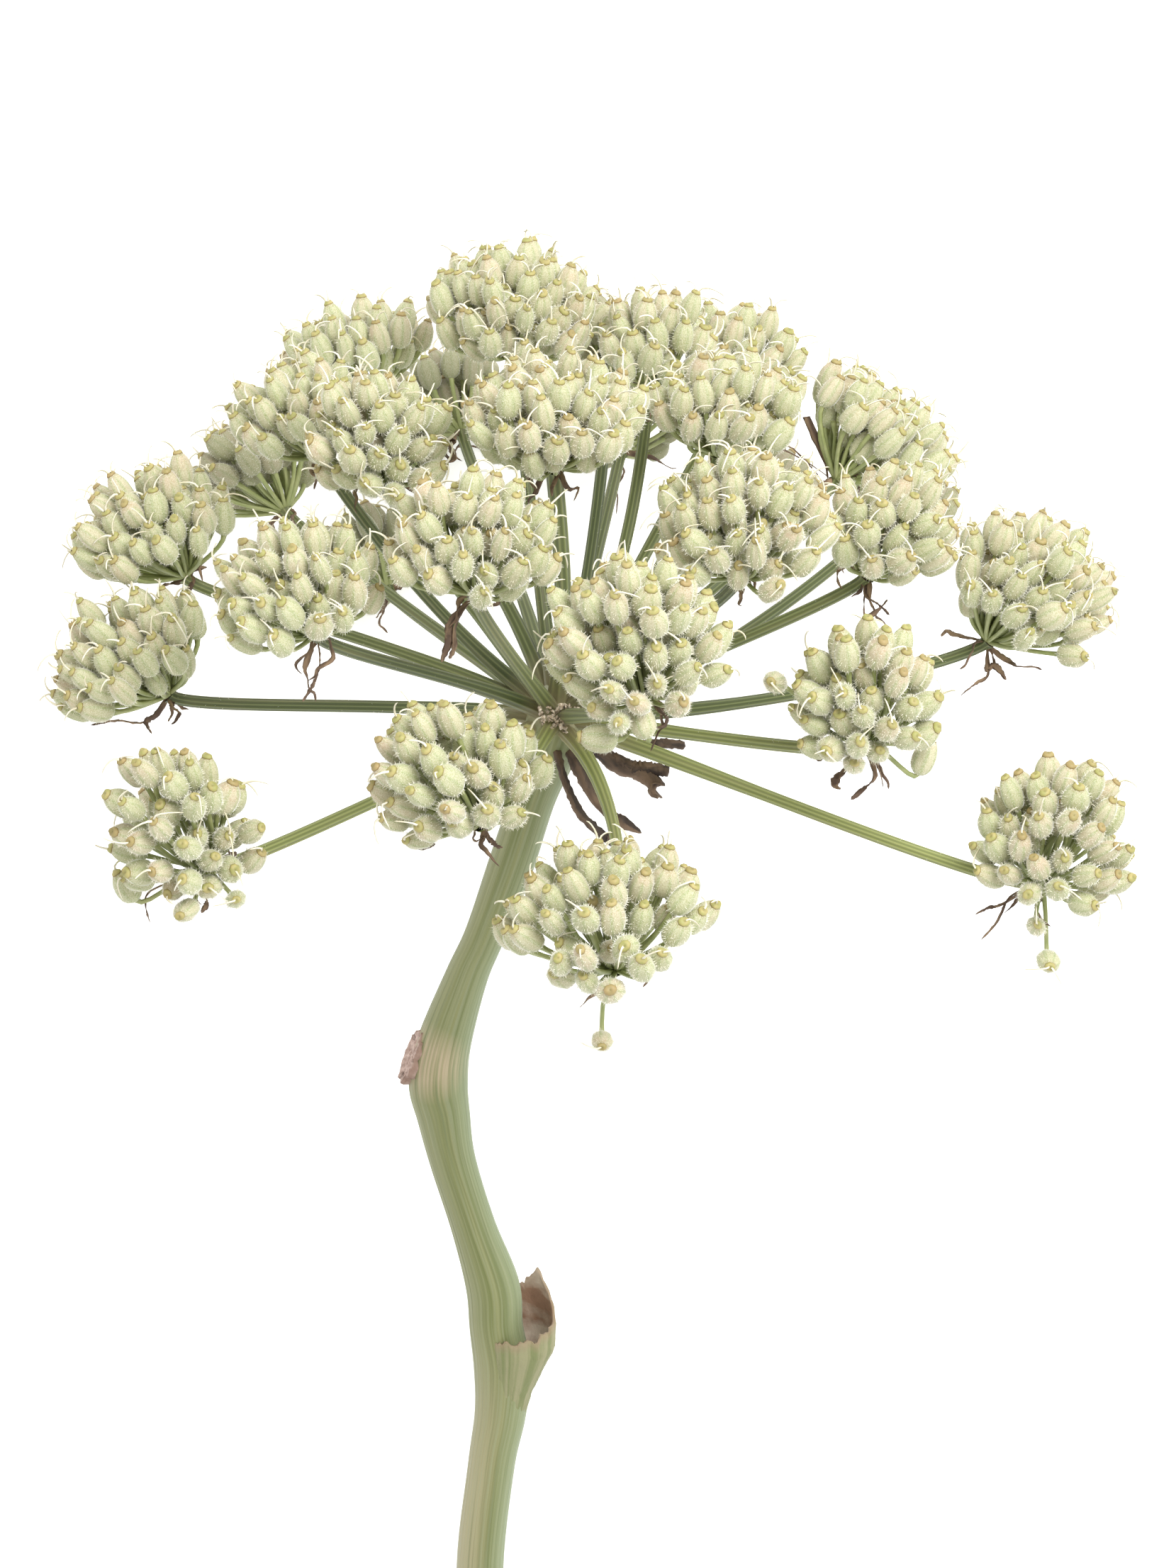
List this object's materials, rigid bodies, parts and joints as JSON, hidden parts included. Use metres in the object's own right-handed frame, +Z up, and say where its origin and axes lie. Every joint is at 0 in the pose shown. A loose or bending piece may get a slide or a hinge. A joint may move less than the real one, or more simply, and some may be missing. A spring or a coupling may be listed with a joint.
{
  "type": "giant fennel",
  "caption": "Cut stem of giant fennel in young fruit: a zigzag stem whose ribbed rays each end in a domed head of fuzzy ribbed fruits.",
  "frame": {"origin": "on the surface that the stem lies on, below the middle of the part's outline seen from above", "axes": "+Y along the stem towards the umbel, +X to the right seen from above with the umbel at the top, +Z up from the surface"},
  "size_m": [0.1701, 0.2532, 0.1587],
  "materials": {
    "stem": "fresh green stem and rays, finely ribbed lengthwise, matt",
    "fruit": "pale grey-green fruits with fine white fuzz, matt",
    "bracteoles": "withered brown, dry and matt",
    "bracts": "withered dark brown, dry and matt"
  },
  "bodies": {
    "root": {"stem": "stem", "bracts": "bracts", "bracteoles_01": "bracteoles", "bracteoles_02": "bracteoles", "bracteoles_03": "bracteoles", "bracteoles_04": "bracteoles", "bracteoles_05": "bracteoles", "bracteoles_06": "bracteoles", "bracteoles_07": "bracteoles", "bracteoles_08": "bracteoles", "bracteoles_09": "bracteoles", "bracteoles_10": "bracteoles", "bracteoles_11": "bracteoles", "bracteoles_12": "bracteoles", "bracteoles_13": "bracteoles", "bracteoles_14": "bracteoles", "bracteoles_15": "bracteoles", "bracteoles_16": "bracteoles", "bracteoles_17": "bracteoles", "bracteoles_18": "bracteoles", "bracteoles_19": "bracteoles", "bracteoles_20": "bracteoles", "bracteoles_21": "bracteoles", "bracteoles_22": "bracteoles", "bracteoles_23": "bracteoles", "bracteoles_24": "bracteoles", "bracteoles_25": "bracteoles", "bracteoles_26": "bracteoles", "bracteoles_27": "bracteoles", "bracteoles_28": "bracteoles", "bracteoles_29": "bracteoles", "umbellet_01": "fruit", "umbellet_02": "fruit", "umbellet_03": "fruit", "umbellet_04": "fruit", "umbellet_05": "fruit", "umbellet_06": "fruit", "umbellet_07": "fruit", "umbellet_08": "fruit", "umbellet_09": "fruit", "umbellet_10": "fruit", "umbellet_11": "fruit", "umbellet_12": "fruit", "umbellet_13": "fruit", "umbellet_14": "fruit", "umbellet_15": "fruit", "umbellet_16": "fruit", "umbellet_17": "fruit", "umbellet_18": "fruit", "umbellet_19": "fruit", "umbellet_20": "fruit", "umbellet_21": "fruit", "umbellet_22": "fruit", "umbellet_23": "fruit", "umbellet_24": "fruit", "umbellet_25": "fruit", "umbellet_26": "fruit", "umbellet_27": "fruit", "umbellet_28": "fruit", "umbellet_29": "fruit"}
  },
  "joints": []
}
